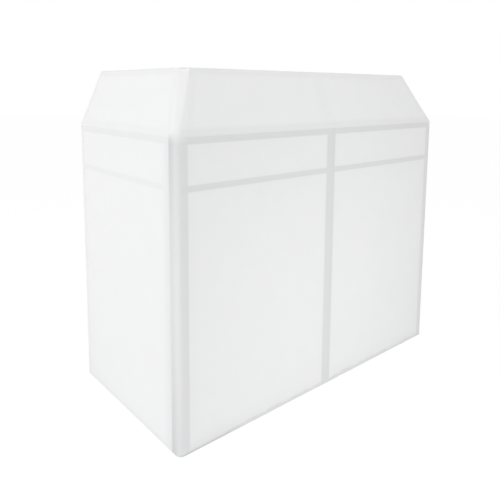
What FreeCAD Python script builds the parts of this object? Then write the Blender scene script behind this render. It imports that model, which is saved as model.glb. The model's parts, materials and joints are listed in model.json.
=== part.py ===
# DJ booth: a tube frame with a front and two swinging wings, under a white stretch-cloth cover.
# The frame's top band leans inwards on the front and on both wings, and the back is open.
# Millimetres, +Z up, +X to the right seen from the front, the front faces -Y.
# The origin is on the floor, in the middle of the booth.
import FreeCAD, Part
import os
import re

os.makedirs("parts", exist_ok=True)
doc = FreeCAD.newDocument("dj_booth")

# Driving dimensions
sizes = {
    # overall
    "booth_width": 1250,
    "booth_depth": 620,
    "booth_height": 1120,
    "crown_height": 186,
    "front_lean": 84,
    "side_lean": 81,
    # tubes
    "post_side": 25,
    "outer_post_width": 12,
    "strut_side": 20,
    "tube_wall": 1.5,
    "tube_corner": 2.5,
    "bottom_rail_height": 15,
    "mid_rail_height": 15,
    "mid_rail_drop": 148,
    "knee_rail_height": 25,
    "rim_corner_gap": 22,
    "rim_cap_thickness": 2,
    "weld_gap": 0.1,
    # middle of the front
    "centre_gap": 3,
    "bolt_diameter": 8,
    "bolt_clearance": 0.25,
    "bolt_head_width": 14,
    "bolt_head_height": 5,
    "bolt_tail": 14,
    "spacer_diameter": 18,
    "upper_bolt_drop": 135,
    "lower_bolt_height": 180,
    "knob_diameter": 21,
    "knob_height": 10,
    "knob_fit": 0.05,
    "knob_scallop_diameter": 6,
    "knob_seat_gap": 0.2,
    # wing pivots
    "pivot_post_diameter": 30,
    "pivot_clearance": 0.4,
    "pivot_gap": 1.5,
    "plate_thickness": 3,
    "plate_strap_width": 11,
    "plate_end_clearance": 0.5,
    "pin_diameter": 12,
    "pin_length": 28,
    "bush_length": 30,
    "bush_fit": 0.05,
    # feet
    "foot_height": 8,
    "foot_corner": 3,
    "foot_plug_height": 20,
    "foot_plug_clearance": 0.15,
    # shelf
    "ledge_width": 25,
    "ledge_thickness": 2,
    "ledge_end_gap": 25,
    "shelf_thickness": 15,
    "shelf_clearance": 2,
    "shelf_seat_gap": 0.3,
    "shelf_corner": 12,
    # cloth
    "cloth_thickness": 1,
    "cloth_clearance": 0.2,
    "hem_clearance": 4,
    "cloth_slit": 0.6,
    "mitre_clearance": 2,
    # cuts
    "overrun": 5,
}
knob_lobe_count = 6

# Places that several pieces share, as formulas in the sizes and in places above them.
# A place named side is a distance outwards from the middle plane, the same on the left and right.
places = {
    "knee_height": "booth_height - crown_height",
    "cloth_front": "-booth_depth / 2",
    "cloth_front_inside": "cloth_front + cloth_thickness",
    "cloth_side": "booth_width / 2",
    "cloth_side_inside": "cloth_side - cloth_thickness",
    "frame_front": "cloth_front_inside + cloth_clearance",
    "frame_front_inside": "frame_front + post_side",
    "frame_back": "booth_depth / 2",
    "frame_side": "cloth_side_inside - cloth_clearance",
    "pivot_radius": "pivot_post_diameter / 2",
    "pivot_side": "frame_side - pivot_radius - pivot_clearance",
    "pivot_depth": "frame_front + pivot_radius + pivot_clearance",
    "pivot_foot": "foot_height + plate_thickness",
    "pivot_knee": "knee_height - plate_thickness",
    "outer_post_outside": "pivot_side - pivot_radius - pivot_gap",
    "outer_post_inside": "outer_post_outside - outer_post_width",
    "centre_post_inside": "centre_gap / 2",
    "centre_post_outside": "centre_post_inside + post_side",
    "wing_inside": "frame_side - post_side",
    "wing_post_front": "frame_back - post_side",
    "bottom_rail_top": "pivot_foot + bottom_rail_height",
    "mid_rail_level": "knee_height - mid_rail_drop",
    "mid_rail_top": "mid_rail_level + mid_rail_height / 2",
    "mid_rail_bottom": "mid_rail_level - mid_rail_height / 2",
    "knee_rail_bottom": "knee_height - knee_rail_height",
    "rim_top": "booth_height - cloth_thickness",
    "rim_bottom": "rim_top - strut_side",
    "rim_front": "frame_front + front_lean",
    "rim_side": "frame_side - side_lean",
    "rim_front_end": "rim_side - rim_corner_gap",
    "rim_wing_end": "rim_front + rim_corner_gap",
    "rise_share": "(rim_bottom - knee_height) / crown_height",
    "strut_front_shift": "front_lean * rise_share",
    "strut_side_shift": "side_lean * rise_share",
    "bolt_depth": "frame_front + post_side / 2",
    "bolt_radius": "bolt_diameter / 2",
    "bolt_hole_radius": "bolt_radius + bolt_clearance",
    "upper_bolt_height": "mid_rail_level - upper_bolt_drop",
    "ledge_flange_bottom": "mid_rail_top - ledge_thickness",
    "shelf_bottom": "mid_rail_top + shelf_seat_gap",
}

axisVectors = {
    "x": FreeCAD.Vector(1, 0, 0),
    "y": FreeCAD.Vector(0, 1, 0),
    "z": FreeCAD.Vector(0, 0, 1),
}
subParts = []

sheet = doc.addObject("Spreadsheet::Sheet", "sizes")
for row, (alias, value) in enumerate(sizes.items(), start=1):
    sheet.set(f"A{row}", alias)
    sheet.set(f"B{row}", str(value))
    sheet.setAlias(f"B{row}", alias)
doc.recompute()


def bound(formula):
    """Spell a formula out in the sheet's cells."""

    def spell(word):
        if word[0] in places:
            return f"({bound(places[word[0]])})"
        return f"sizes.{word[0]}" if word[0] in sizes else word[0]

    return re.sub(r"[a-z_]+", spell, str(formula))


def bind(item, **formulas):
    for name, formula in formulas.items():
        item.setExpression(name.replace("__", "."), bound(formula))


def put(item, x, y, z):
    bind(item, Placement__Base__x=x, Placement__Base__y=y, Placement__Base__z=z)
    return item


def named(item, label):
    """Give a finished sub-part its label, and list it for export."""
    item.Label = label
    subParts.append(item)


def outwards(side, low, high):
    """A span measured outwards from the middle plane, as a span along X."""
    return (low, high) if side == "right" else (f"-({high})", f"-({low})")


def inset(span, amount):
    return (f"{span[0]} + {amount}", f"{span[1]} - ({amount})")


def longer(span):
    """A cutting tool's span, past both faces of what it cuts."""
    return inset(span, "(-overrun)")


def spread(start, length):
    return (start, f"{start} + {length}")


def box(name, x, y, z):
    block = doc.addObject("Part::Box", name)
    size = [f"{span[1]} - ({span[0]})" for span in (x, y, z)]
    bind(block, Length=size[0], Width=size[1], Height=size[2])
    return put(block, x[0], y[0], z[0])


def rounded(block, axis, radius_name):
    """Round the four edges of a box that run along one axis."""
    doc.recompute()
    radius = float(sheet.get(radius_name))
    fillet = doc.addObject("Part::Fillet", f"{block.Name}_rounded")
    fillet.Base = block
    fillet.Edges = [
        (number, radius, radius)
        for number, edge in enumerate(block.Shape.Edges, start=1)
        if edge.Curve.Direction.cross(axisVectors[axis]).Length < edge.Curve.Direction.Length / 2
    ]
    return fillet


def upright(name, x, y, z, radius):
    """A cylinder along Z."""
    bar = doc.addObject("Part::Cylinder", name)
    bind(bar, Radius=radius, Height=f"{z[1]} - ({z[0]})")
    return put(bar, x, y, z[0])


def crosswise(name, x, y, z, radius, kind="Part::Cylinder"):
    """A cylinder, or a hexagon of that outer radius, along X."""
    bar = doc.addObject(kind, name)
    bar.Placement = FreeCAD.Placement(FreeCAD.Vector(), FreeCAD.Rotation(axisVectors["y"], 90))
    if kind == "Part::Cylinder":
        bind(bar, Radius=radius)
    else:
        bind(bar, Circumradius=radius)
    bind(bar, Height=f"{x[1]} - ({x[0]})")
    return put(bar, x[0], y, z)


def cut(base, tool, name):
    result = doc.addObject("Part::Cut", name)
    result.Base = base
    result.Tool = tool
    return result


def fuse(items, name):
    result = doc.addObject("Part::MultiFuse", name)
    result.Shapes = items
    result.Refine = True
    return result


def group(items, name):
    """Separate solids that share one node."""
    result = doc.addObject("Part::Compound", name)
    result.Links = items
    return result


def tube(name, axis, x, y, z):
    """A flat-sided tube along one axis, open at both ends."""
    spans = {"x": x, "y": y, "z": z}
    outside = rounded(box(f"{name}_outside", x, y, z), axis, "tube_corner")
    bore = {
        key: longer(span) if key == axis else inset(span, "tube_wall")
        for key, span in spans.items()
    }
    return cut(outside, box(f"{name}_bore", **bore), f"{name}_tube")


def slanted(name, low, high, z):
    """A bar whose level section moves from one place at the bottom to another at the top."""
    wedge = doc.addObject("Part::Wedge", name)
    wedge.Placement = FreeCAD.Placement(FreeCAD.Vector(), FreeCAD.Rotation(axisVectors["x"], 90))
    (x, y), (x_top, y_top) = low, high
    bind(wedge, Xmin=x[0], Xmax=x[1], X2min=x_top[0], X2max=x_top[1], Ymin=z[0], Ymax=z[1])
    bind(wedge, Zmin=f"-({y[1]})", Zmax=f"-({y[0]})")
    bind(wedge, Z2min=f"-({y_top[1]})", Z2max=f"-({y_top[0]})")
    return wedge


def slanted_tube(name, low, high):
    """A crown strut, from the knee to the underside of the rim."""
    z = ("knee_height", "rim_bottom")
    outside = slanted(f"{name}_outside", low, high, z)
    bore = [tuple(inset(span, "tube_wall") for span in section) for section in (low, high)]
    return cut(outside, slanted(f"{name}_bore", bore[0], bore[1], z), f"{name}_tube")


def angle(name, flange_x, flange_y, leg_x, leg_y):
    """An angle on a mid rail's inner side, with its flange level with the rail's top."""
    flange = box(f"{name}_flange", flange_x, flange_y, ("ledge_flange_bottom", "mid_rail_top"))
    leg = box(f"{name}_leg", leg_x, leg_y, ("mid_rail_bottom", "mid_rail_top"))
    return fuse([flange, leg], f"{name}_angle")


def rim_cap(name, x, y):
    return box(name, x, y, ("rim_bottom", "rim_top"))


def foot(name, x, y, plugged):
    """A pad under a post, with a plug in the post's bore where that is open."""
    pad = rounded(box(f"{name}_pad", x, y, ("0", "foot_height")), "z", "foot_corner")
    if not plugged:
        return pad
    play = "tube_wall + foot_plug_clearance"
    plug = box(f"{name}_plug", inset(x, play), inset(y, play), spread("foot_height", "foot_plug_height"))
    return fuse([pad, plug], f"{name}_cap")


railSpans = {
    "bottom_rail": ("pivot_foot", "bottom_rail_top"),
    "mid_rail": ("mid_rail_bottom", "mid_rail_top"),
    "knee_rail": ("knee_rail_bottom", "knee_height"),
}
rimSpan = ("rim_bottom", "rim_top")
frontDepth = ("frame_front", "frame_front_inside")
boltHeights = {"upper": "upper_bolt_height", "lower": "lower_bolt_height"}
pivotSides = {"left": "-pivot_side", "right": "pivot_side"}


# Front frame: two halves side by side
def centre_post(name, x):
    """A post beside the middle plane, drilled for the two centre bolts."""
    post = tube(name, "z", x, frontDepth, ("foot_height", "knee_height"))
    drills = [
        crosswise(f"{name}_{level}_drill", longer(x), "bolt_depth", height, "bolt_hole_radius")
        for level, height in boltHeights.items()
    ]
    return cut(post, group(drills, f"{name}_drills"), f"{name}_drilled")


def front_half(side):
    name = f"front_{side}"
    outer_x = outwards(side, "outer_post_inside", "outer_post_outside")
    centre_x = outwards(side, "centre_post_inside", "centre_post_outside")
    rail_x = outwards(side, "centre_post_outside", "outer_post_inside")
    outer_post = tube(f"{name}_outer", "z", outer_x, frontDepth, ("pivot_foot", "pivot_knee"))
    named(outer_post, f"{name}_outer_post")
    named(centre_post(f"{name}_centre", centre_x), f"{name}_centre_post")
    for rail, z in railSpans.items():
        named(tube(f"{name}_{rail}", "x", rail_x, frontDepth, z), f"{name}_{rail}")
    low_y = spread("frame_front", "strut_side")
    high_y = spread("frame_front + strut_front_shift", "strut_side")
    strut_ends = {
        "outer_strut": ("outer_post_outside - strut_side", "rim_front_end - strut_side"),
        "centre_strut": ("centre_post_inside", "centre_post_inside"),
    }
    for strut, (low, high) in strut_ends.items():
        bottom = (outwards(side, *spread(low, "strut_side")), low_y)
        top = (outwards(side, *spread(high, "strut_side")), high_y)
        named(slanted_tube(f"{name}_{strut}", bottom, top), f"{name}_{strut}")
    rim_x = outwards(side, "centre_post_inside", "rim_front_end")
    rim_y = spread("rim_front", "strut_side")
    named(tube(f"{name}_rim", "x", rim_x, rim_y, rimSpan), f"{name}_rim_rail")
    flange_y = spread("frame_front_inside", "ledge_width")
    leg_y = spread("frame_front_inside", "ledge_thickness")
    named(angle(f"{name}_ledge", rail_x, flange_y, rail_x, leg_y), f"{name}_ledge")
    cap_x = outwards(side, *spread("rim_front_end", "rim_cap_thickness"))
    cap = rim_cap(f"{name}_rim_cap", cap_x, rim_y)
    feet = [
        foot(f"{name}_outer_foot", outer_x, frontDepth, False),
        foot(f"{name}_centre_foot", centre_x, frontDepth, True),
    ]
    return cap, feet


left_cap, left_feet = front_half("left")
right_cap, right_feet = front_half("right")
named(group([left_cap, right_cap], "front_rim_cap_pair"), "front_rim_caps")
named(group(left_feet + right_feet, "front_foot_set"), "front_feet")


# Pivots that carry the wings: a plate and a pin at the foot and at the knee of each corner
def pivot_plate(side, name, z):
    """A disc on the pivot axis, a strap and a pad that lies on the end of the outer post."""
    disc_radius = "pivot_radius - plate_end_clearance"
    disc = upright(f"{name}_disc", pivotSides[side], "pivot_depth", z, disc_radius)
    strap_x = outwards(side, "outer_post_outside", "pivot_side")
    strap_y = spread("pivot_depth - plate_strap_width / 2", "plate_strap_width")
    strap = box(f"{name}_strap", strap_x, strap_y, z)
    pad_x = outwards(side, "outer_post_inside", "outer_post_outside")
    return fuse([disc, strap, box(f"{name}_pad", pad_x, frontDepth, z)], f"{name}_plate")


plateSpans = {
    "foot": ("foot_height", "pivot_foot"),
    "knee": ("pivot_knee", "knee_height"),
}
pinSpans = {
    "foot": spread("pivot_foot", "pin_length"),
    "knee": ("pivot_knee - pin_length", "pivot_knee"),
}
bushSpans = {
    "foot": spread("pivot_foot", "bush_length"),
    "knee": ("pivot_knee - bush_length", "pivot_knee"),
}
plates = []
pins = []
for side, axis_x in pivotSides.items():
    for end in plateSpans:
        name = f"{side}_{end}_pivot"
        plates.append(pivot_plate(side, name, plateSpans[end]))
        pin = upright(f"{name}_pin", axis_x, "pivot_depth", pinSpans[end], "pin_diameter / 2")
        pins.append(pin)
named(group(plates, "pivot_plate_set"), "pivot_plates")
named(group(pins, "pivot_pin_set"), "pivot_pins")


# Centre joint: two bolts, a spacer on each between the halves, and a star knob on each
def centre_bolt(name, height):
    head_x = ("-centre_post_outside - bolt_head_height", "-centre_post_outside")
    shank_x = ("-centre_post_outside", "centre_post_outside + bolt_tail")
    corner_radius = "bolt_head_width / 2 / cos(30)"
    head = crosswise(f"{name}_head", head_x, "bolt_depth", height, corner_radius, "Part::Prism")
    shank = crosswise(f"{name}_shank", shank_x, "bolt_depth", height, "bolt_radius")
    return fuse([head, shank], f"{name}_whole")


def centre_spacer(name, height):
    x = ("-centre_post_inside", "centre_post_inside")
    disc = crosswise(f"{name}_disc", x, "bolt_depth", height, "spacer_diameter / 2")
    hole = crosswise(f"{name}_hole", longer(x), "bolt_depth", height, "bolt_hole_radius")
    return cut(disc, hole, f"{name}_ring")


def clamp_knob(name, height):
    """A round nut with scallops cut in its rim, turning on its bolt."""
    x = spread("centre_post_outside + knob_seat_gap", "knob_height")
    disc = crosswise(f"{name}_disc", x, "bolt_depth", height, "knob_diameter / 2")
    tools = [crosswise(f"{name}_bore", longer(x), "bolt_depth", height, "bolt_radius + knob_fit")]
    for lobe in range(knob_lobe_count):
        turn = 360 / knob_lobe_count * lobe
        y = f"bolt_depth + knob_diameter / 2 * cos({turn})"
        z = f"{height} + knob_diameter / 2 * sin({turn})"
        radius = "knob_scallop_diameter / 2"
        tools.append(crosswise(f"{name}_scallop_{lobe}", longer(x), y, z, radius))
    return cut(disc, group(tools, f"{name}_tools"), f"{name}_star")


bolts = [centre_bolt(f"{level}_bolt", height) for level, height in boltHeights.items()]
spacers = [centre_spacer(f"{level}_spacer", height) for level, height in boltHeights.items()]
named(group(bolts, "centre_bolt_pair"), "centre_bolts")
named(group(spacers, "centre_spacer_pair"), "centre_spacers")
for level, height in boltHeights.items():
    named(clamp_knob(f"{level}_knob", height), f"{level}_clamp_knob")


# Wings: each turns on its round corner post
def round_tube(name, axis_x, z, radius, bore_radius):
    outside = upright(f"{name}_outside", axis_x, "pivot_depth", z, radius)
    bore = upright(f"{name}_bore", axis_x, "pivot_depth", longer(z), bore_radius)
    return cut(outside, bore, f"{name}_round_tube")


def wing_rail(name, axis_x, x, z):
    """A rail from the pivot post, where its end is cut to the post's round, to the back post."""
    y = ("pivot_depth + pivot_radius / 2", "wing_post_front")
    saddle_radius = "pivot_radius + weld_gap"
    saddle = upright(f"{name}_saddle", axis_x, "pivot_depth", longer(z), saddle_radius)
    return cut(tube(name, "y", x, y, z), saddle, f"{name}_coped")


def wing(side):
    name = f"{side}_wing"
    axis_x = pivotSides[side]
    x = outwards(side, "wing_inside", "frame_side")
    back_y = ("wing_post_front", "frame_back")
    pivot_z = ("pivot_foot", "pivot_knee")
    bore_radius = "pivot_radius - tube_wall"
    pivot_post = round_tube(f"{name}_pivot", axis_x, pivot_z, "pivot_radius", bore_radius)
    named(pivot_post, f"{name}_pivot_post")
    back_post = tube(f"{name}_back", "z", x, back_y, ("foot_height", "knee_height"))
    named(back_post, f"{name}_back_post")
    for rail, z in railSpans.items():
        named(wing_rail(f"{name}_{rail}_bar", axis_x, x, z), f"{name}_{rail}")
    low_x = outwards(side, "frame_side - strut_side", "frame_side")
    high_x = outwards(
        side, "frame_side - strut_side - strut_side_shift", "frame_side - strut_side_shift"
    )
    strut_ends = {
        "front_strut": ("pivot_depth + pivot_radius + weld_gap", "rim_wing_end"),
        "back_strut": ("frame_back - strut_side", "frame_back - strut_side"),
    }
    for strut, (low, high) in strut_ends.items():
        bottom = (low_x, spread(low, "strut_side"))
        top = (high_x, spread(high, "strut_side"))
        named(slanted_tube(f"{name}_{strut}_bar", bottom, top), f"{name}_{strut}")
    rim_x = outwards(side, "rim_side - strut_side", "rim_side")
    rim_y = ("rim_wing_end", "frame_back - rim_cap_thickness")
    named(tube(f"{name}_rim", "y", rim_x, rim_y, rimSpan), f"{name}_rim_rail")
    caps = [
        rim_cap(f"{name}_front_cap", rim_x, ("rim_wing_end - rim_cap_thickness", "rim_wing_end")),
        rim_cap(f"{name}_back_cap", rim_x, ("frame_back - rim_cap_thickness", "frame_back")),
    ]
    named(group(caps, f"{name}_rim_cap_pair"), f"{name}_rim_caps")
    ledge_y = ("frame_front_inside + ledge_end_gap", "wing_post_front - ledge_end_gap")
    flange_x = outwards(side, "wing_inside - ledge_width", "wing_inside")
    leg_x = outwards(side, "wing_inside - ledge_thickness", "wing_inside")
    ledge = angle(f"{name}_shelf", flange_x, ledge_y, leg_x, ledge_y)
    named(ledge, f"{name}_ledge")
    bush_radii = (f"{bore_radius} - bush_fit", "pin_diameter / 2 + bush_fit")
    bushes = [
        round_tube(f"{name}_{end}_bush", axis_x, z, *bush_radii) for end, z in bushSpans.items()
    ]
    named(group(bushes, f"{name}_bush_pair"), f"{name}_bushes")
    named(foot(f"{name}_back_foot", x, back_y, True), f"{name}_foot")


wing("left")
wing("right")

# Shelf: a loose board that lies on the ledges and leaves through the open back
shelf_side = "wing_inside - shelf_clearance"
shelf_board = box(
    "shelf_board",
    outwards("right", f"-({shelf_side})", shelf_side),
    ("frame_front_inside + shelf_clearance", "frame_back"),
    spread("shelf_bottom", "shelf_thickness"),
)
named(rounded(shelf_board, "z", "shelf_corner"), "shelf")

# Cover: stretch cloth over the front and the wings, flat below the knee and leaning above it
coverSpan = ("hem_clearance", "knee_height")
crownSpan = ("knee_height", "booth_height")
front_side = "pivot_side - cloth_slit / 2"
crown_side = "rim_side - mitre_clearance / 2"
front_x = (f"-({front_side})", front_side)
front_x_top = (f"-({crown_side})", crown_side)
front_y = ("cloth_front", "cloth_front_inside")
front_y_top = ("cloth_front + front_lean", "cloth_front_inside + front_lean")
named(box("front_sheet", front_x, front_y, coverSpan), "front_cover")
front_crown = slanted("front_crown", (front_x, front_y), (front_x_top, front_y_top), crownSpan)
named(front_crown, "front_crown_cover")
for side in pivotSides:
    name = f"{side}_wing"
    x = outwards(side, "cloth_side_inside", "cloth_side")
    x_top = outwards(side, "cloth_side_inside - side_lean", "cloth_side - side_lean")
    y = ("pivot_depth + cloth_slit / 2", "frame_back")
    y_top = ("rim_front + mitre_clearance / 2", "frame_back")
    named(box(f"{name}_sheet", x, y, coverSpan), f"{name}_cover")
    named(slanted(f"{name}_crown", (x, y), (x_top, y_top), crownSpan), f"{name}_crown_cover")

doc.recompute()
faults = [item.Label for item in doc.Objects if "Invalid" in item.State or "Error" in item.State]
faults += [item.Label for item in subParts if item.Shape.isNull() or not item.Shape.isValid()]
if faults:
    raise RuntimeError(f"failed pieces: {faults}")
for item in subParts:
    item.Shape.exportStep(f"parts/{item.Label}.step")
print(len(subParts), "pieces written")
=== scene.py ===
import json
import math

import bmesh
import bpy
from mathutils import Matrix, Vector, noise


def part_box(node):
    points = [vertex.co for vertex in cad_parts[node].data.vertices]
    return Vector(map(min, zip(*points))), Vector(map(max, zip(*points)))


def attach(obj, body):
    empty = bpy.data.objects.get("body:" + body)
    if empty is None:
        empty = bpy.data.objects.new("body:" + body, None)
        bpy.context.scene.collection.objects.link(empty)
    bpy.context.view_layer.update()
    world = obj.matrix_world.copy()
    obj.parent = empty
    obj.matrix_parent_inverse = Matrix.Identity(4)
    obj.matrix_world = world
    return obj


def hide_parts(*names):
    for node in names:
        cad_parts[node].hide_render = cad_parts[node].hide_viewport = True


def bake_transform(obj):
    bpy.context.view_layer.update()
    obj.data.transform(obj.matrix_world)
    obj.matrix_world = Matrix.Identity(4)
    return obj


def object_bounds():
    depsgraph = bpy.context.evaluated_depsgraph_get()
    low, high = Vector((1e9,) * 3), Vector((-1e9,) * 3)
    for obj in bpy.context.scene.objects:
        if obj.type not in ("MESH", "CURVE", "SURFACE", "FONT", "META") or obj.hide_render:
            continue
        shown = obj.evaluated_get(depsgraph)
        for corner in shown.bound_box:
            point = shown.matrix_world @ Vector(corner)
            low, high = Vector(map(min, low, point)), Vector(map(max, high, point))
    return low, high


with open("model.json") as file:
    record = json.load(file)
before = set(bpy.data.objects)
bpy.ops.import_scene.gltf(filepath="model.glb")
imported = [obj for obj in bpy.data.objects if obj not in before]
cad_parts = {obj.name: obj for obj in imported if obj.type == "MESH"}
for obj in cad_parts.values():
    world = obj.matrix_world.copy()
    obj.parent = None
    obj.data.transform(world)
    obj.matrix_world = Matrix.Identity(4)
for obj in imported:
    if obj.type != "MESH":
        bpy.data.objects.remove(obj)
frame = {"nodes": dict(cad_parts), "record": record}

cadLow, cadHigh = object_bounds()
print("frame loaded,", len(frame["nodes"]), "nodes")


# sizes read from the frame, in metres
def nodeSpan(node, axis):
    low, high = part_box(node)
    return low[axis], high[axis]


hingeSpot = {joint["name"]: joint.get("pos_m") for joint in frame["record"]["behaviour"]["joints"]}
pivotX = hingeSpot["right_wing_swing"][0]
pivotY = hingeSpot["right_wing_swing"][1]
halfWidth = cadHigh.x
frontY = cadLow.y
backY = cadHigh.y
topZ = cadHigh.z
kneeZ = nodeSpan("front_cover", 2)[1]
crownHeight = topZ - kneeZ
rimFrontY = frontY + nodeSpan("front_left_rim_rail", 1)[0] - nodeSpan("front_left_knee_rail", 1)[0]
rimSideX = nodeSpan("right_wing_rim_rail", 0)[1] + halfWidth - nodeSpan("right_wing_back_post", 0)[1]
seamX = nodeSpan("front_right_outer_post", 0)[0]
postX = nodeSpan("front_right_outer_post", 0)[1]
centrePost = nodeSpan("front_right_centre_post", 0)
rimEndX = nodeSpan("front_right_rim_rail", 0)[1]
wingStrutFoot = nodeSpan("right_wing_front_strut", 1)[0]
wingRimY = nodeSpan("right_wing_rim_rail", 1)[0]
backPostY = nodeSpan("right_wing_back_post", 1)[0]
strutSide = nodeSpan("front_right_centre_strut", 0)[1] - nodeSpan("front_right_centre_strut", 0)[0]
midRailSpan = nodeSpan("front_left_mid_rail", 2)
kneeRailSpan = nodeSpan("front_left_knee_rail", 2)


# shader groups
def newGroup(name, inputs, outputs):
    group = bpy.data.node_groups.new(name, "ShaderNodeTree")
    for label, kind, value in inputs:
        socket = group.interface.new_socket(label, in_out="INPUT", socket_type=kind)
        if value is not None:
            socket.default_value = value
    for label, kind in outputs:
        group.interface.new_socket(label, in_out="OUTPUT", socket_type=kind)
    return group, group.nodes.new("NodeGroupInput"), group.nodes.new("NodeGroupOutput")


def mathNode(tree, operation, first, second=None, third=None):
    node = tree.nodes.new("ShaderNodeMath")
    node.operation = operation
    for index, value in enumerate((first, second, third)):
        if isinstance(value, (int, float)):
            node.inputs[index].default_value = value
        elif value is not None:
            tree.links.new(value, node.inputs[index])
    return node.outputs[0]


def mixColour(tree, factor, first, second, blend="MIX"):
    node = tree.nodes.new("ShaderNodeMix")
    node.data_type = "RGBA"
    node.blend_type = blend
    for index, value in ((0, factor), (6, first), (7, second)):
        if isinstance(value, (int, float, tuple)):
            node.inputs[index].default_value = value
        else:
            tree.links.new(value, node.inputs[index])
    return node.outputs[2]


def noiseNode(tree, place, scale, detail):
    node = tree.nodes.new("ShaderNodeTexNoise")
    node.inputs["Detail"].default_value = detail
    tree.links.new(place, node.inputs["Vector"])
    if isinstance(scale, float):
        node.inputs["Scale"].default_value = scale
    else:
        tree.links.new(scale, node.inputs["Scale"])
    return node.outputs["Fac"]


knitLook = {
    "wale": 0.0009,
    "course": 0.0007,
    "loopSlant": 1.2,
    "waleShare": 0.6,
    "loopShare": 0.4,
    "dipShare": 0.25,
    "mottleScale": 14.0,
    "mottleDetail": 4.0,
}


# warp knit: wales and courses under a millimetre apart, on the cloth's own cut coordinates, with painted
# shade in the hollows between them
def makeKnitGroup():
    group, given, out = newGroup(
        "knit",
        [
            ("Cut", "NodeSocketVector", None),
            ("Wale", "NodeSocketFloat", knitLook["wale"]),
            ("Course", "NodeSocketFloat", knitLook["course"]),
        ],
        [("Height", "NodeSocketFloat"), ("Mottle", "NodeSocketFloat"), ("PaintedDipShade", "NodeSocketFloat")],
    )
    split = group.nodes.new("ShaderNodeSeparateXYZ")
    group.links.new(given.outputs["Cut"], split.inputs[0])
    turn = 2 * math.pi
    across = mathNode(group, "DIVIDE", split.outputs[0], given.outputs["Wale"])
    along = mathNode(group, "DIVIDE", split.outputs[1], given.outputs["Course"])
    zigzag = mathNode(group, "PINGPONG", across, 0.5)  # there and back once a wale
    slant = mathNode(group, "MULTIPLY_ADD", zigzag, knitLook["loopSlant"], along)
    loop = mathNode(group, "SINE", mathNode(group, "MULTIPLY", slant, turn))
    wale = mathNode(group, "COSINE", mathNode(group, "MULTIPLY", across, turn))
    height = mathNode(group, "MULTIPLY", loop, knitLook["loopShare"])
    height = mathNode(group, "MULTIPLY_ADD", wale, knitLook["waleShare"], height)
    group.links.new(height, out.inputs["Height"])
    mottle = noiseNode(group, given.outputs["Cut"], knitLook["mottleScale"], knitLook["mottleDetail"])
    group.links.new(mottle, out.inputs["Mottle"])
    # painted shade: darker in the hollows between wales and loops
    dipShadeMask = mathNode(group, "MULTIPLY", mathNode(group, "SUBTRACT", 1.0, wale), knitLook["dipShare"])
    dipShadeMask = mathNode(group, "MULTIPLY_ADD", loop, -knitLook["dipShare"], dipShadeMask)
    group.links.new(dipShadeMask, out.inputs["PaintedDipShade"])
    return group


skinLook = {
    "scuffRange": (0.5, 0.75),  # noise levels where wear starts and where it is full
    "scuffDetail": 6.0,
    "peelDetail": 2.0,
    "peelStrength": 0.3,
}


# fine orange peel and small scuffs, shared by paint, plastic, laminate, plating and thread
def makeSkinGroup():
    group, given, out = newGroup(
        "skin",
        [("Peel", "NodeSocketFloat", None), ("Scuff", "NodeSocketFloat", None)],
        [("Height", "NodeSocketFloat"), ("Wear", "NodeSocketFloat")],
    )
    place = group.nodes.new("ShaderNodeTexCoord").outputs["Object"]
    ramp = group.nodes.new("ShaderNodeMapRange")
    for label, level in zip(("From Min", "From Max"), skinLook["scuffRange"]):
        ramp.inputs[label].default_value = level
    scuffs = noiseNode(group, place, given.outputs["Scuff"], skinLook["scuffDetail"])
    group.links.new(scuffs, ramp.inputs["Value"])
    peel = noiseNode(group, place, given.outputs["Peel"], skinLook["peelDetail"])
    group.links.new(peel, out.inputs["Height"])
    group.links.new(ramp.outputs["Result"], out.inputs["Wear"])
    return group


knitGroup = makeKnitGroup()
skinGroup = makeSkinGroup()


def newMaterial(name):
    material = bpy.data.materials.new(name)
    material.use_nodes = True
    tree = material.node_tree
    return material, tree, tree.nodes["Principled BSDF"]


def placeGroup(tree, group, values):
    node = tree.nodes.new("ShaderNodeGroup")
    node.node_tree = group
    for label, value in values.items():
        if isinstance(value, (int, float)):
            node.inputs[label].default_value = value
        else:
            tree.links.new(value, node.inputs[label])
    return node.outputs


def addBump(tree, shader, height, strength, distance):
    bump = tree.nodes.new("ShaderNodeBump")
    bump.inputs["Strength"].default_value = strength
    bump.inputs["Distance"].default_value = distance
    tree.links.new(height, bump.inputs["Height"])
    tree.links.new(bump.outputs["Normal"], shader.inputs["Normal"])


clothFinish = {
    "open": (0.905, 0.907, 0.913, 1.0),
    "paintedShadeColour": (0.660, 0.663, 0.672, 1.0),  # painted shade where a tube lies behind the cloth
    "roughness": 0.86,
    "sheen": 0.12,
    "specular": 0.2,
    "mottle": 0.025,
    # depth of the painted shade in the knit's hollows
    "dipShadeDepth": 0.03,
    "bump": (0.25, 0.00015),  # strength and depth of the knit
}


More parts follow.
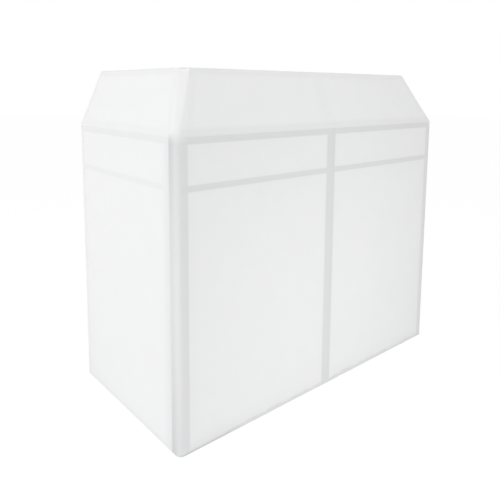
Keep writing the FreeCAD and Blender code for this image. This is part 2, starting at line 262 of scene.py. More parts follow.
def makeCloth():
    material, tree, shader = newMaterial("whiteStretchKnit")
    cut = tree.nodes.new("ShaderNodeUVMap")
    cut.uv_map = "cut"
    knit = placeGroup(tree, knitGroup, {"Cut": cut.outputs["UV"]})
    # painted shade: the colour darkens where the tubes and the hem would shade the cloth
    paintedTubeShade = tree.nodes.new("ShaderNodeAttribute")
    paintedTubeShade.attribute_name = "paintedTubeShade"
    base = mixColour(tree, paintedTubeShade.outputs["Fac"], clothFinish["open"], clothFinish["paintedShadeColour"])
    mottle = clothFinish["mottle"]
    shade = mathNode(tree, "MULTIPLY_ADD", knit["Mottle"], mottle, 1 - mottle / 2)
    # painted shade in the knit's hollows
    shade = mathNode(tree, "MULTIPLY_ADD", knit["PaintedDipShade"], -clothFinish["dipShadeDepth"], shade)
    tint = tree.nodes.new("ShaderNodeCombineColor")
    for socket in tint.inputs[:3]:
        tree.links.new(shade, socket)
    colour = mixColour(tree, 1.0, base, tint.outputs[0], "MULTIPLY")
    tree.links.new(colour, shader.inputs["Base Color"])
    shader.inputs["Roughness"].default_value = clothFinish["roughness"]
    shader.inputs["Sheen Weight"].default_value = clothFinish["sheen"]
    shader.inputs["Specular IOR Level"].default_value = clothFinish["specular"]
    addBump(tree, shader, knit["Height"], *clothFinish["bump"])
    return material


def makeSkin(name, look):
    material, tree, shader = newMaterial(name)
    skin = placeGroup(tree, skinGroup, {"Peel": look["peel"], "Scuff": look["scuff"]})
    colour = mixColour(tree, skin["Wear"], look["fresh"], look["worn"])
    tree.links.new(colour, shader.inputs["Base Color"])
    smooth, dull = look["roughness"]
    rough = mathNode(tree, "MULTIPLY_ADD", skin["Wear"], dull - smooth, smooth)
    tree.links.new(rough, shader.inputs["Roughness"])
    shader.inputs["Metallic"].default_value = look["metal"]
    addBump(tree, shader, skin["Height"], skinLook["peelStrength"], look["depth"])
    return material


finishLooks = {
    "frame_paint": {
        "fresh": (0.82, 0.82, 0.81, 1.0), "worn": (0.78, 0.78, 0.77, 1.0),
        "roughness": (0.38, 0.5), "metal": 0.0, "peel": 900.0, "scuff": 12.0, "depth": 0.0001,
    },
    "shelf_board": {
        "fresh": (0.84, 0.84, 0.83, 1.0), "worn": (0.79, 0.79, 0.78, 1.0),
        "roughness": (0.42, 0.58), "metal": 0.0, "peel": 1500.0, "scuff": 7.0, "depth": 0.00006,
    },
    "black_plastic": {
        "fresh": (0.025, 0.025, 0.026, 1.0), "worn": (0.05, 0.05, 0.05, 1.0),
        "roughness": (0.5, 0.65), "metal": 0.0, "peel": 1200.0, "scuff": 40.0, "depth": 0.0001,
    },
    "zinc_steel": {
        "fresh": (0.62, 0.63, 0.64, 1.0), "worn": (0.5, 0.5, 0.5, 1.0),
        "roughness": (0.3, 0.45), "metal": 1.0, "peel": 600.0, "scuff": 60.0, "depth": 0.00004,
    },
}
threadLook = {
    "fresh": (0.86, 0.86, 0.87, 1.0), "worn": (0.78, 0.78, 0.79, 1.0),
    "roughness": (0.6, 0.75), "metal": 0.0, "peel": 5000.0, "scuff": 900.0, "depth": 0.0001,
}
cloth = makeCloth()
thread = makeSkin("whiteThread", threadLook)
finishes = {slot: makeSkin(slot + "Finish", look) for slot, look in finishLooks.items()}
for part in frame["record"]["subparts"]:
    if part["material_slot"] in finishes:
        slots = frame["nodes"][part["node"]].data.materials
        slots.clear()
        slots.append(finishes[part["material_slot"]])
print("materials set")

# the stretch cover: columns run round the booth, rows run up it
coverSizes = {
    "thickness": 0.0008,
    "hem": 0.0015,  # how far the bottom edge hangs above the floor
    "hemHeight": 0.014,
    "hemFold": 0.0005,  # the doubled hem stands this far out
    "hemFoldEdge": 0.0003,  # and falls back this far below its top
    "kneeBend": (0.006, 0.006),  # reach of the bend below and above the knee
    "cornerBend": (0.003, 0.028),
    "rimRadius": 0.005,
    "rimReach": 0.0185,  # how far the top hem reaches over the rim rail
    "dish": 0.0012,  # free cloth lies this far behind the line of the tubes
    "dishStart": 0.03,  # height over the floor where that starts
    "dishFade": 0.05,
    "crownDishShare": 0.25,  # share of the crown that it fades over
    "pucker": 0.0011,
    "puckerFade": 0.03,
    "columnStep": 0.008,
    "mergeGap": 0.0004,  # rows or columns closer than this are one
}
# places and edges of the painted shade bands where tubes lie behind the cloth
shadeBandSizes = {
    "softness": 0.0035,  # width of a painted shade band's soft edge
    "shadeHalo": (0.14, 0.02),  # strength and reach of the faint painted shade beside a band
    "postInset": 0.0075,  # the painted shade stops this far before a tube's edge, where the cloth leaves the tube
    "railInset": (0.002, 0.006),
    "centreShare": 0.88,  # between the two centre posts
    "cornerCap": 0.012,  # height of the paler top of a corner's painted shade
    "capShare": 0.4,
    "cornerShadePaling": 0.42,  # a corner's painted shade band is paler by this share at half its height
    "cornerEnd": 0.002,  # height over the knee where a corner's painted shade band ends
    "postEnd": -0.006,
    "endFade": 0.005,
    "hemFade": 0.003,
    "hemShadeHalo": (0.36, 0.02),
    "kneeStripTop": 0.014,
    "rimStartShare": 0.87,  # share of the crown's height where the rim's painted shade band starts
    "rimFadeShare": 0.05,
    "wingStripShare": 0.4,
    "backStrutShare": 0.6,
    "backOver": 0.02,
}
# how dark the painted shade of the tubes behind the cloth is
shadeBandStrength = {
    "post": 0.54, "midRail": 0.5, "kneeRail": 0.5, "kneeStrip": 0.19, "rim": 0.12, "strut": 0.06,
    "wingMidRail": 0.15, "wingKneeRail": 0.22, "wingHem": 0.2, "wingBack": 0.13,
    # by distance from the corner's edge, along the front and along the wing
    "frontCorner": [
        (0.0, 0.44), (0.006, 0.43), (0.020, 0.44), (0.028, 0.46),
        (0.035, 0.45), (0.039, 0.08), (0.075, 0.0),
    ],
    "wingCorner": [
        (0.0, 0.50), (0.008, 0.53), (0.014, 0.72), (0.026, 1.0),
        (0.036, 1.0), (0.041, 0.26), (0.085, 0.0),
    ],
}
lowInset, highInset = shadeBandSizes["railInset"]
railSpans = {"midRail": midRailSpan, "kneeRail": (kneeRailSpan[0] + lowInset, kneeRailSpan[1] - highInset)}


def lerp(first, second, share):
    return first + (second - first) * share


def between(value, table):
    for (low, first), (high, second) in zip(table, table[1:]):
        if value <= high:
            return lerp(first, second, (value - low) / (high - low))
    return table[-1][1]


def ease(value):
    value = max(0.0, min(1.0, value))
    return value * value * (3 - 2 * value)


# strength of a soft-edged painted shade band over a span, at one place
def shadeBandAt(value, span, strength):
    gap = max(0.0, span[0] - value, value - span[1])
    share, reach = shadeBandSizes["shadeHalo"]
    return strength * max(1 - gap / shadeBandSizes["softness"], share * math.exp(-gap / reach))


# where painted shade bands over these spans start, are full and end
def edgesOf(spans):
    soft = shadeBandSizes["softness"]
    return [place for low, high in spans for place in (low - soft, low, high, high + soft)]


# sorted places with no gap wider than the step
def fillIn(places, step):
    dense = []
    for place in sorted(places):
        if dense and place - dense[-1] < coverSizes["mergeGap"]:
            continue
        if dense:
            start = dense[-1]
            count = math.ceil((place - start) / step)
            dense += [lerp(start, place, index / count) for index in range(1, count)]
        dense.append(place)
    return dense


rowSizes = {
    "hemSteps": 14,
    "hemStep": 0.0016,
    "hemGap": 0.002,
    "hemTop": 0.024,
    "foldGaps": (-0.0006, 0.0002),  # a row on either side of the hem's fold
    "low": (0.026, 0.06),
    "lowGap": 0.005,
    "wallStart": 0.065,
    "wallGap": 0.03,
    "besideRail": 0.02,
    "crownShares": (0.0, 0.03, 0.06, 0.1, 0.9, 0.93, 1.0),
    "crownGapShare": 0.06,
    "kneeSteps": 10,
    "rimSteps": 5,
    "topSteps": 4,
}


# rows of one kind, numbered from 0 to 1
def evenRows(kind, steps, first):
    return [(kind, step / steps) for step in range(first, steps + 1)]


def makeRows():
    hem = coverSizes["hem"]
    fold = hem + coverSizes["hemHeight"]
    kneeStart = kneeZ - coverSizes["kneeBend"][0]
    wall = [hem + rowSizes["hemStep"] * step for step in range(rowSizes["hemSteps"])]
    wall += [fold + gap for gap in rowSizes["foldGaps"]]
    wall = [z for z in fillIn(wall, rowSizes["hemGap"]) if z < rowSizes["hemTop"]]
    wall += fillIn(rowSizes["low"], rowSizes["lowGap"])
    beside = rowSizes["besideRail"]
    edges = [z for low, high in railSpans.values() for z in (low - beside, high + beside)]
    edges += edgesOf(railSpans.values())
    wall += fillIn([rowSizes["wallStart"]] + [z for z in edges if z < kneeStart], rowSizes["wallGap"])
    crown = fillIn(rowSizes["crownShares"], rowSizes["crownGapShare"])[1:]
    rows = [("wall", z) for z in wall] + evenRows("knee", rowSizes["kneeSteps"], 0)
    rows += [("crown", share) for share in crown]
    return rows + evenRows("rim", rowSizes["rimSteps"], 1) + evenRows("top", rowSizes["topSteps"], 1)


coverRows = makeRows()


def bezier(low, mid, high, value):
    return low * (1 - value) ** 2 + mid * 2 * value * (1 - value) + high * value**2


# share of the crown's height at one of its rows
def crownShare(value, column):
    return lerp(column["bend"][1] / crownHeight, 1 - coverSizes["rimRadius"] / crownHeight, value)


# a point of the cover, which lies the sag behind the line of the tubes
def coverPoint(row, column, sag=0.0):
    kind, value = row
    knee, rim, inwards = column["knee"], column["rim"], column["inwards"]
    rimZ = topZ - column["dip"]
    if kind == "wall":
        foldTop = coverSizes["hem"] + coverSizes["hemHeight"] - coverSizes["hemFoldEdge"]
        fold = coverSizes["hemFold"] if value < foldTop else 0.0
        lift = column["pucker"] * math.exp(-value / coverSizes["puckerFade"])
        spot = knee + inwards * (sag - fold - lift)
        return Vector((*spot, value))
    if kind == "knee":
        share = column["bend"][1] / crownHeight
        low = Vector((*knee, kneeZ - column["bend"][0]))
        high = Vector((*knee.lerp(rim, share), lerp(kneeZ, rimZ, share)))
        return bezier(low, Vector((*knee, kneeZ)), high, value)
    if kind == "crown":
        share = crownShare(value, column)
        spot = knee.lerp(rim, share) + inwards * sag
        return Vector((*spot, lerp(kneeZ, rimZ, share)))
    fold = column["fold"]
    radius = coverSizes["rimRadius"]
    if kind == "rim":
        share = 1 - radius / crownHeight
        low = Vector((*knee.lerp(rim, share), lerp(kneeZ, rimZ, share)))
        return bezier(low, Vector((*rim, rimZ)), Vector((*(rim + fold * radius), rimZ)), value)
    spot = rim + fold * lerp(radius, column["reach"], value)
    return Vector((*spot, lerp(rimZ, topZ, value)))


# height over the knee
def heightOver(row, column):
    kind, value = row
    low, high = column["bend"]
    if kind == "wall":
        return value - kneeZ
    if kind == "knee":
        return high * value**2 - low * (1 - value) ** 2
    return crownShare(value, column) * crownHeight


# how dark the painted shade of the tubes and the hem is at one point
def paintedShadeAt(row, column):
    kind, value = row
    rails = column["rails"]
    if kind in ("rim", "top"):
        return column["rimBand"]
    above = heightOver(row, column)
    parts = [shadeBandAt(kneeZ + above, span, rails[rail]) for rail, span in railSpans.items()]
    cap, end = 1.0, shadeBandSizes["postEnd"]
    if column["corner"]:
        cap = lerp(1.0, shadeBandSizes["capShare"], ease(above / shadeBandSizes["cornerCap"] + 1))
        end = shadeBandSizes["cornerEnd"]
    hold = 1 - column["slack"] * math.sin(math.pi * value / kneeZ) if kind == "wall" else 1.0
    parts.append(column["post"] * cap * hold * (1 - ease((above - end) / shadeBandSizes["endFade"])))
    # painted shade at the bottom: a dark hem line with a fading shade above it
    if kind == "wall":
        hemTop = column["hemTop"]
        share, reach = shadeBandSizes["hemShadeHalo"]
        parts.append(column["hem"] * max(0.0, min(1.0, (hemTop - value) / shadeBandSizes["hemFade"] + 1)))
        parts.append(share * column["hem"] * math.exp(-max(0.0, value - hemTop) / reach))
    else:
        strip = ease((above - shadeBandSizes["kneeStripTop"]) / shadeBandSizes["endFade"])
        parts.append(rails["kneeStrip"] * (1 - strip))
    if kind == "crown":
        rimShare = (above / crownHeight - shadeBandSizes["rimStartShare"]) / shadeBandSizes["rimFadeShare"]
        parts += [column["strut"], column["rimBand"] * ease(rimShare)]
    return max(parts)


# how far free cloth lies behind the line of the tubes at one point
def sagAt(row, column):
    kind, value = row
    start = coverSizes["dishStart"]
    if kind == "wall" and value > start:
        gap = min(abs(value - edge) for span in railSpans.values() for edge in span)
        gap = min(gap, value - start)
        if any(low < value < high for low, high in railSpans.values()):
            gap = 0.0
        return coverSizes["dish"] * column["free"] * ease(gap / coverSizes["dishFade"])
    if kind == "crown":
        share = min(value, 1 - value) / coverSizes["crownDishShare"]
        return coverSizes["dish"] * column["free"] * ease(share)
    return 0.0


def makeCover(name, columns, mirrored):
    points, paintedTubeShades, cuts, faces = [], [], [], []
    height = 0.0
    width = len(columns)
    for row in coverRows:
        gauge = len(points) + width // 3  # the cut's height is measured up this column
        points += [coverPoint(row, column, sagAt(row, column)) for column in columns]
        paintedTubeShades += [paintedShadeAt(row, column) for column in columns]
        height += (points[gauge] - points[gauge - width]).length if gauge > width else 0.0
        cuts += [(column["around"], height) for column in columns]
    for up in range(len(coverRows) - 1):
        for along in range(width - 1):
            if coverRows[up + 1][0] == "top" and (columns[along]["wrap"] or columns[along + 1]["wrap"]):
                continue  # behind the back post the rim's hem stops at the fold
            corner = up * width + along
            face = (corner, corner + 1, corner + 1 + width, corner + width)
            faces.append(face[::-1] if mirrored else face)
    mesh = bpy.data.meshes.new(name)
    mesh.from_pydata(points, [], faces)
    # the painted tube and hem shade is kept on the points for the cloth's colour
    mesh.attributes.new("paintedTubeShade", "FLOAT", "POINT").data.foreach_set("value", paintedTubeShades)
    layer = mesh.uv_layers.new(name="cut")
    for loop in mesh.loops:
        layer.data[loop.index].uv = cuts[loop.vertex_index]
    trim = bmesh.new()
    trim.from_mesh(mesh)
    bmesh.ops.delete(trim, geom=[vert for vert in trim.verts if not vert.link_faces], context="VERTS")
    for edge in trim.edges:
        edge.smooth = not edge.is_boundary  # a cut edge doesn't bend the shading beside it
    trim.to_mesh(mesh)
    trim.free()
    mesh.polygons.foreach_set("use_smooth", [True] * len(mesh.polygons))
    mesh.materials.append(cloth)
    item = bpy.data.objects.new(name, mesh)
    bpy.context.scene.collection.objects.link(item)
    solid = item.modifiers.new("clothThickness", "SOLIDIFY")
    solid.thickness = coverSizes["thickness"]
    solid.offset = -1.0
    return item


# painted shade strengths of the rails, on the front and on the wings
frontRailShades = {key: shadeBandStrength[key] for key in ("midRail", "kneeRail", "kneeStrip")}
wingRailShades = {
    "midRail": shadeBandStrength["wingMidRail"], "kneeRail": shadeBandStrength["wingKneeRail"],
    "kneeStrip": shadeBandStrength["wingKneeRail"] * shadeBandSizes["wingStripShare"],
}
hemSizes = {
    "rise": (-0.5, 0.13),  # place along the front where the hem rides up, and the length it does so over
    "strength": (1.0, 0.45),  # painted hem shade strength before and after that place
    "puckerShares": (0.45, 1.4),
    # heights of the top of the hem's painted shade
    "low": 0.006,
    "lift": 0.007,
    "wave": 0.006,
    "coarse": (17.0, 0.3, 2.0),  # scale and seeds of each noise
    "fine": (46.0, 1.7, 5.0),
    "fineShare": 0.6,
    "ripple": (38.0, 4.1, 0.0),
    "rippleLift": 0.1,
    "seamFade": 0.02,
    "wingTop": 0.009,
    "wingRipple": (34.0, 7.0),
    "wingPuckerShare": 0.4,
}


# smooth noise along a line
def waver(place, scale, *seeds):
    return noise.noise(Vector((place * scale, *seeds)))


# the hem's painted shade is a thin line at the front's left and rides up towards its right, where the hem
# also puckers
def hemLooks(x):
    start, length = hemSizes["rise"]
    right = ease((x - start) / length)
    wave = waver(x, *hemSizes["coarse"]) + hemSizes["fineShare"] * waver(x, *hemSizes["fine"])
    ripple = max(0.0, waver(x, *hemSizes["ripple"]) + hemSizes["rippleLift"])
    return {
        "hem": lerp(*hemSizes["strength"], right),
        "hemTop": hemSizes["low"] + right * (hemSizes["lift"] + hemSizes["wave"] * wave),
        "pucker": coverSizes["pucker"] * lerp(*hemSizes["puckerShares"], right) * ripple,
    }


# adds a column: where it crosses the knee and the rim, which way is inwards, and its looks, painted shade
# among them
def newColumn(columns, knee, rim, inwards, **extra):
    around = columns[-1]["around"] + (knee - columns[-1]["knee"]).length if columns else knee.x
    column = {
        "knee": knee, "rim": rim, "inwards": inwards, "fold": inwards, "reach": coverSizes["rimReach"],
        "around": around, "rails": frontRailShades, "post": 0.0, "strut": 0.0, "rimBand": shadeBandStrength["rim"],
        "hem": shadeBandStrength["wingHem"], "hemTop": hemSizes["wingTop"], "pucker": 0.0, "free": 0.0,
        "bend": coverSizes["kneeBend"], "dip": 0.0, "slack": 0.0, "corner": False, "wrap": False,
    }
    column.update(extra)
    columns.append(column)


# knee bend of a column, from the plain one to the corner's
def bendAt(share):
    plain, corner = coverSizes["kneeBend"], coverSizes["cornerBend"]
    return [lerp(plain[index], corner[index], ease(share)) for index in (0, 1)]


def cornerShadeAt(gap, table):
    return between(gap, shadeBandStrength[table])


rimSeamX = rimEndX - (postX - seamX)  # where the front cloth's side edge meets the rim
outerStrut = (postX - strutSide, postX)


def frontColumns():
    centre = (0.0, centrePost[1] - shadeBandSizes["postInset"])
    inner = edgesOf([centre, outerStrut]) + [centrePost[0]]
    inner += [halfWidth - gap for gap, strength in shadeBandStrength["frontCorner"]]
    right = fillIn([0.0, seamX] + [place for place in inner if 0 < place < seamX], coverSizes["columnStep"])
    columns = []
    for x in [-place for place in reversed(right[1:])] + right:
        away = abs(x)
        rimX = between(away, [(0.0, 0.0), (centrePost[1], centrePost[1]), (seamX, rimSeamX)])
        gap = min(away - centrePost[1], seamX - away)
        post = shadeBandAt(away, centre, shadeBandStrength["post"])
        post *= shadeBandSizes["centreShare"] if away < centrePost[0] else 1.0
        strut = shadeBandAt(away, (centrePost[0], centrePost[0] + strutSide), shadeBandStrength["strut"])
        looks = hemLooks(x)
        looks["pucker"] *= ease((seamX - away) / hemSizes["seamFade"])
        newColumn(
            columns, Vector((x, frontY)), Vector((math.copysign(rimX, x), rimFrontY)), Vector((0.0, 1.0)),
            post=max(post, cornerShadeAt(halfWidth - away, "frontCorner")),
            strut=max(strut, shadeBandAt(away, outerStrut, shadeBandStrength["strut"])),
            free=ease(gap / coverSizes["dishFade"]), **looks,
        )
    return columns


wingSizes = {
    "rimGap": 0.002,  # the rim's corner starts this far past the rails' ends
    "rimTipShare": 0.8,
    "rimDip": 0.004,  # slack of the rim between the rails' ends at a corner
    "cornerSteps": 12,
    "cornerGap": 0.004,
    "cornerReach": 0.041,  # how far the corner's painted shade band runs along the wing
    "cornerRailShare": 0.5,
    "bendReach": 0.03,
    "backCurl": 0.0055,
    "backReach": 0.024,
    "capReach": 0.0215,  # the rim tube's end is covered too
    "backGap": 0.001,  # the cloth stands this far behind the back post
    "curlSteps": 5,
    "backSteps": 4,
}


def wingColumns(side):
    sign = 1.0 if side == "right" else -1.0
    radius = halfWidth - pivotX
    columns = []

    # from the seam beside the outer post to the pivot post
    rimStart = Vector((rimEndX + wingSizes["rimGap"], rimFrontY))
    rimTable = [(seamX, rimSeamX), (postX, rimEndX), (pivotX, rimEndX + wingSizes["rimGap"])]
    places = edgesOf([outerStrut]) + [halfWidth - gap for gap, strength in shadeBandStrength["frontCorner"]]
    places = [seamX, pivotX] + [place for place in places if seamX < place < pivotX]
    for x in fillIn(places, wingSizes["cornerGap"]):
        looks = hemLooks(sign * x)
        looks["pucker"] = 0.0
        newColumn(
            columns, Vector((sign * x, frontY)), Vector((sign * between(x, rimTable), rimFrontY)),
            Vector((0.0, 1.0)), post=cornerShadeAt(halfWidth - x, "frontCorner"),
            strut=shadeBandAt(x, outerStrut, shadeBandStrength["strut"]), bend=bendAt((x - seamX) / (pivotX - seamX)),
            **looks,
        )
    frontHem = columns[-1]["hem"]

    # round the pivot post; at the rim the cloth goes straight from one rail's end to the other's
    rimEnd = Vector((rimSideX, wingRimY - wingSizes["rimGap"]))
    rimTip = Vector((rimSideX, rimFrontY)).lerp((rimStart + rimEnd) / 2, wingSizes["rimTipShare"])
    hemStart = rimStart + Vector((0.0, coverSizes["rimReach"]))
    hemEnd = rimEnd - Vector((coverSizes["rimReach"], 0.0))
    steps = wingSizes["cornerSteps"]
    for step in range(1, steps):
        share = step / steps
        turn = share * math.pi / 2
        knee = Vector((sign * (pivotX + radius * math.sin(turn)), pivotY - radius * math.cos(turn)))
        rim = bezier(rimStart, rimTip, rimEnd, share)
        over = hemStart.lerp(hemEnd, share) - rim
        front = cornerShadeAt(halfWidth - abs(knee.x), "frontCorner")
        wing = cornerShadeAt(knee.y - frontY, "wingCorner")
        newColumn(
            columns, knee, Vector((sign * rim.x, rim.y)), Vector((-sign * math.sin(turn), math.cos(turn))),
            fold=Vector((sign * over.x, over.y)).normalized(), reach=over.length,
            post=lerp(front, wing, ease(share)), bend=coverSizes["cornerBend"],
            rails={
                key: lerp(frontRailShades[key], wingRailShades[key], share) * wingSizes["cornerRailShare"]
                for key in frontRailShades
            },
            dip=wingSizes["rimDip"] * math.sin(share * math.pi), rimBand=0.0,
            hem=lerp(frontHem, shadeBandStrength["wingHem"], share), hemTop=hemSizes["low"], corner=True,
            slack=shadeBandSizes["cornerShadePaling"] * ease(2 * share),  # the paler painted shade is full halfway round
        )

    # along the wing
    strutFoot = (wingStrutFoot, wingStrutFoot + strutSide)
    rimTable = [(pivotY, wingRimY - wingSizes["rimGap"]), (strutFoot[0], wingRimY)]
    rimTable += [(strutFoot[1], wingRimY + strutSide), (backY, backY)]
    curl = wingSizes["backCurl"]
    back = (backPostY, backY + shadeBandSizes["backOver"])
    backStrut = shadeBandStrength["wingBack"] * shadeBandSizes["backStrutShare"]
    backStrength = {"post": shadeBandStrength["wingBack"], "strut": backStrut}
    cornerEnd = frontY + wingSizes["cornerReach"]
    places = [backPostY, backPostY - shadeBandSizes["softness"]] + edgesOf([strutFoot])
    places += [frontY + gap for gap, strength in shadeBandStrength["wingCorner"]]
    places = [pivotY, backY - curl] + [place for place in places if pivotY < place < backY - curl]
    rippleScale, rippleSeed = hemSizes["wingRipple"]
    for y in fillIn(places, coverSizes["columnStep"]):
        gap = min(y - cornerEnd, backPostY - y)
        ripple = max(0.0, waver(y, rippleScale, sign, rippleSeed))
        newColumn(
            columns, Vector((sign * halfWidth, y)), Vector((sign * rimSideX, between(y, rimTable))),
            Vector((-sign, 0.0)), rails=wingRailShades, free=ease(gap / coverSizes["dishFade"]),
            bend=bendAt(1 - (y - pivotY) / wingSizes["bendReach"]),
            post=max(cornerShadeAt(y - frontY, "wingCorner"), shadeBandAt(y, back, backStrength["post"])),
            strut=max(shadeBandAt(y, strutFoot, shadeBandStrength["strut"]), shadeBandAt(y, back, backStrut)),
            pucker=coverSizes["pucker"] * hemSizes["wingPuckerShare"] * ripple, corner=y < cornerEnd,
            slack=shadeBandSizes["cornerShadePaling"] if y < cornerEnd else 0.0,
        )

    # round the back post and in behind it
    behind = wingSizes["backGap"]
    steps = wingSizes["curlSteps"]
    for step in range(1, steps + 1):
        turn = step / steps * math.pi / 2
        out = behind * step / steps
        shift = Vector((sign * curl * (math.cos(turn) - 1), curl * (math.sin(turn) - 1) + out))
        newColumn(
            columns, Vector((sign * halfWidth, backY)) + shift, Vector((sign * rimSideX, backY)) + shift,
            Vector((-sign * math.cos(turn), -math.sin(turn))), rails=wingRailShades, wrap=True, **backStrength,
        )
    steps = wingSizes["backSteps"]
    for step in range(1, steps + 1):
        inset = lerp(curl, wingSizes["backReach"], step / steps)
        rimInset = lerp(curl, wingSizes["capReach"], step / steps)
        newColumn(
            columns, Vector((sign * (halfWidth - inset), backY + behind)),
            Vector((sign * (rimSideX - rimInset), backY + behind)), Vector((0.0, -1.0)),
            rails=wingRailShades, wrap=True, **backStrength,
        )
    return columns


# rows of lockstitch along the hems
stitchSizes = {"Pitch": 0.0032, "Length": 0.0024, "Thickness": 0.0005}
beadShape = {"Segments": 6, "Rings": 4, "Radius": 0.5}
seamSizes = {"lift": 0.0001, "hemInset": 0.0025, "rimShare": 0.78}


def makeStitchTree():
    tree = bpy.data.node_groups.new("stitchRow", "GeometryNodeTree")
    face = tree.interface
    face.new_socket("Path", in_out="INPUT", socket_type="NodeSocketGeometry")
    for label in stitchSizes:
        face.new_socket(label, in_out="INPUT", socket_type="NodeSocketFloat")
    face.new_socket("Thread", in_out="INPUT", socket_type="NodeSocketMaterial")
    face.new_socket("Stitches", in_out="OUTPUT", socket_type="NodeSocketGeometry")
    given = tree.nodes.new("NodeGroupInput").outputs
    out = tree.nodes.new("NodeGroupOutput")
    line = tree.nodes.new("GeometryNodeMeshToCurve")
    spots = tree.nodes.new("GeometryNodeCurveToPoints")
    spots.mode = "LENGTH"
    turn = tree.nodes.new("FunctionNodeAlignRotationToVector")
    turn.axis = "X"
    bead = tree.nodes.new("GeometryNodeMeshUVSphere")
    for label, value in beadShape.items():
        bead.inputs[label].default_value = value
    size = tree.nodes.new("ShaderNodeCombineXYZ")
    shape = tree.nodes.new("GeometryNodeTransform")
    smooth = tree.nodes.new("GeometryNodeSetShadeSmooth")
    put = tree.nodes.new("GeometryNodeInstanceOnPoints")
    real = tree.nodes.new("GeometryNodeRealizeInstances")
    paint = tree.nodes.new("GeometryNodeSetMaterial")
    for source, target in (
        (given["Path"], line.inputs["Mesh"]), (line.outputs["Curve"], spots.inputs["Curve"]),
        (given["Pitch"], spots.inputs["Length"]), (spots.outputs["Tangent"], turn.inputs["Vector"]),
        (given["Length"], size.inputs["X"]), (given["Thickness"], size.inputs["Y"]),
        (given["Thickness"], size.inputs["Z"]), (bead.outputs["Mesh"], shape.inputs["Geometry"]),
        (size.outputs[0], shape.inputs["Scale"]), (shape.outputs[0], smooth.inputs["Geometry"]),
        (smooth.outputs[0], put.inputs["Instance"]), (spots.outputs["Points"], put.inputs["Points"]),
        (turn.outputs[0], put.inputs["Rotation"]), (put.outputs[0], real.inputs[0]),
        (real.outputs[0], paint.inputs["Geometry"]), (given["Thread"], paint.inputs["Material"]),
        (paint.outputs[0], out.inputs[0]),
    ):
        tree.links.new(source, target)
    return tree


stitchTree = makeStitchTree()


def sewAlong(name, lines):
    points, edges = [], []
    for line in lines:
        start = len(points)
        points += line
        edges += [(start + index, start + index + 1) for index in range(len(line) - 1)]
    mesh = bpy.data.meshes.new(name + "Path")
    mesh.from_pydata(points, edges, [])
    path = bpy.data.objects.new(name + "Path", mesh)
    bpy.context.scene.collection.objects.link(path)
    sewing = path.modifiers.new("sewing", "NODES")
    sewing.node_group = stitchTree
    values = dict(stitchSizes, Thread=thread)
    for socket in stitchTree.interface.items_tree:
        if socket.in_out == "INPUT" and socket.name in values:
            sewing[socket.identifier] = values[socket.name]
    bpy.context.view_layer.update()
    done = bpy.data.meshes.new_from_object(path.evaluated_get(bpy.context.evaluated_depsgraph_get()))
    bpy.data.objects.remove(path)
    done.name = name
    item = bpy.data.objects.new(name, done)
    bpy.context.scene.collection.objects.link(item)
    return item


# lines for the bottom hem, the rim's hem and the back edge, on the cloth's outer face
def seamLines(columns):
    lift = seamSizes["lift"]
    hemRow = ("wall", coverSizes["hem"] + coverSizes["hemHeight"] - seamSizes["hemInset"])
    bottom = [coverPoint(hemRow, column) - Vector((*column["inwards"], 0.0)) * lift for column in columns]
    rimRow = ("top", seamSizes["rimShare"])
    rim = [coverPoint(rimRow, column) for column in columns if not column["wrap"]]
    lines = [bottom, [point + Vector((0.0, 0.0, lift)) for point in rim]]
    if columns[-1]["wrap"]:
        edge = columns[-2]
        rows = [row for row in coverRows if row[0] in ("wall", "knee", "crown")]
        outward = Vector((*edge["inwards"], 0.0)) * -lift
        lines.append([coverPoint(row, edge) + outward for row in rows])
    return lines


columns = frontColumns()
frontCover = makeCover("frontCloth", columns, False)
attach(frontCover, "front")
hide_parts("front_cover", "front_crown_cover")
frontSewing = sewAlong("frontStitches", seamLines(columns))
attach(frontSewing, "front")
# a wing's cloth runs from the front's seam round the corner, along the wing and round the back post
for side in ("left", "right"):
    sign = 1.0 if side == "right" else -1.0
    columns = wingColumns(side)
    cover = makeCover(side + "WingCloth", columns, sign < 0)
    sewing = sewAlong(side + "WingStitches", seamLines(columns))
    for item in (cover, sewing):
        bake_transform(item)
    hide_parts(side + "_wing_cover", side + "_wing_crown_cover")
print("cover made,", len(coverRows), "rows")

# studio
studio = {
    "floorSize": 40.0,
    "floorColour": (0.92, 0.92, 0.92, 1.0),
    "floorRoughness": 0.9,
    "floorGlow": 1.08,
    "floorShow": 0.82,  # share of the plain white floor that the camera sees
    "skyTop": 0.42,
    "skySide": 0.96,
}
lamps = {
    "leftSoftbox": {"spot": (-3.5, 0.2, 1.05), "target": (0, 0, 0.6), "power": 24.5, "size": 2.0},
    "frontSoftbox": {"spot": (-0.05, -1.4, 0.3), "target": (-0.05, -0.3, 0.3), "power": 2.9, "size": 1.0},
    "topSoftbox": {"spot": (-0.5, -0.9, 3.6), "target": (-0.1, -0.2, 1.0), "power": 20.5, "size": 2.0},
}


# 1 where a surface is seen by the camera, in a reflection or through something
def seenDirectly(tree):
    path = tree.nodes.new("ShaderNodeLightPath").outputs
    seen = mathNode(tree, "MAXIMUM", path["Is Camera Ray"], path["Is Glossy Ray"])
    return mathNode(tree, "MAXIMUM", seen, path["Is Transmission Ray"])


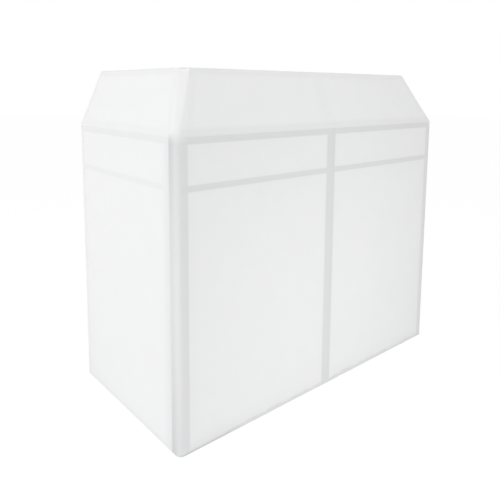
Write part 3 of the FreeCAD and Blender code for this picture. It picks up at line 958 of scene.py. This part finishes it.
def makeFloor():
    half = studio["floorSize"] / 2
    mesh = bpy.data.meshes.new("studioFloor")
    corners = [(-half, -half, 0), (half, -half, 0), (half, half, 0), (-half, half, 0)]
    mesh.from_pydata(corners, [], [(0, 1, 2, 3)])
    floor = bpy.data.objects.new("studioFloor", mesh)
    bpy.context.scene.collection.objects.link(floor)
    material, tree, shader = newMaterial("studioFloor")
    shader.inputs["Base Color"].default_value = studio["floorColour"]
    shader.inputs["Roughness"].default_value = studio["floorRoughness"]
    glow = tree.nodes.new("ShaderNodeEmission")
    glow.inputs["Strength"].default_value = studio["floorGlow"]
    mix = tree.nodes.new("ShaderNodeMixShader")
    show = mathNode(tree, "MULTIPLY", seenDirectly(tree), studio["floorShow"])
    tree.links.new(show, mix.inputs[0])
    tree.links.new(shader.outputs[0], mix.inputs[1])
    tree.links.new(glow.outputs[0], mix.inputs[2])
    tree.links.new(mix.outputs[0], tree.nodes["Material Output"].inputs["Surface"])
    mesh.materials.append(material)


def makeWorld():
    world = bpy.data.worlds.new("studioSky")
    bpy.context.scene.world = world
    world.use_nodes = True
    tree = world.node_tree
    split = tree.nodes.new("ShaderNodeSeparateXYZ")
    tree.links.new(tree.nodes.new("ShaderNodeTexCoord").outputs["Generated"], split.inputs[0])
    ramp = tree.nodes.new("ShaderNodeMapRange")
    ramp.inputs["To Min"].default_value = studio["skySide"]
    ramp.inputs["To Max"].default_value = studio["skyTop"]
    tree.links.new(split.outputs["Z"], ramp.inputs["Value"])
    seen = seenDirectly(tree)
    unseen = mathNode(tree, "SUBTRACT", 1.0, seen)
    strength = mathNode(tree, "MULTIPLY_ADD", ramp.outputs["Result"], unseen, seen)
    tree.links.new(strength, tree.nodes["Background"].inputs["Strength"])
    tree.nodes["Background"].inputs["Color"].default_value = (1, 1, 1, 1)


def addLamp(name, spot, target, power, size):
    lamp = bpy.data.lights.new(name, "AREA")
    lamp.energy = power
    lamp.size = size
    item = bpy.data.objects.new(name, lamp)
    bpy.context.scene.collection.objects.link(item)
    item.location = spot
    item.rotation_euler = (Vector(target) - Vector(spot)).to_track_quat("-Z", "Y").to_euler()


makeFloor()
makeWorld()
for name, settings in lamps.items():
    addLamp(name, **settings)

cameraSettings = {
    "spot": (-1.3898, -1.5118, 1.0588),
    "yaw": 40.43,
    "pitch": 7.34,
    "roll": 0.40,
    "focalPixels": 532.4,
    "imagePixels": 500,
    "sensorWidth": 36.0,
    "shiftY": -0.184,
}


def makeCamera():
    lens = bpy.data.cameras.new("photoCamera")
    lens.sensor_width = cameraSettings["sensorWidth"]
    lens.lens = lens.sensor_width * cameraSettings["focalPixels"] / cameraSettings["imagePixels"]
    lens.shift_y = cameraSettings["shiftY"]
    camera = bpy.data.objects.new("photoCamera", lens)
    bpy.context.scene.collection.objects.link(camera)
    camera.location = cameraSettings["spot"]
    turn = Matrix.Rotation(-math.radians(cameraSettings["yaw"]), 3, "Z")
    tilt = Matrix.Rotation(math.radians(90 - cameraSettings["pitch"]), 3, "X")
    roll = Matrix.Rotation(math.radians(cameraSettings["roll"]), 3, "Z")
    camera.rotation_euler = (turn @ tilt @ roll).to_euler()
    bpy.context.scene.camera = camera


makeCamera()
bpy.context.scene.view_settings.view_transform = "Standard"
print("studio set")
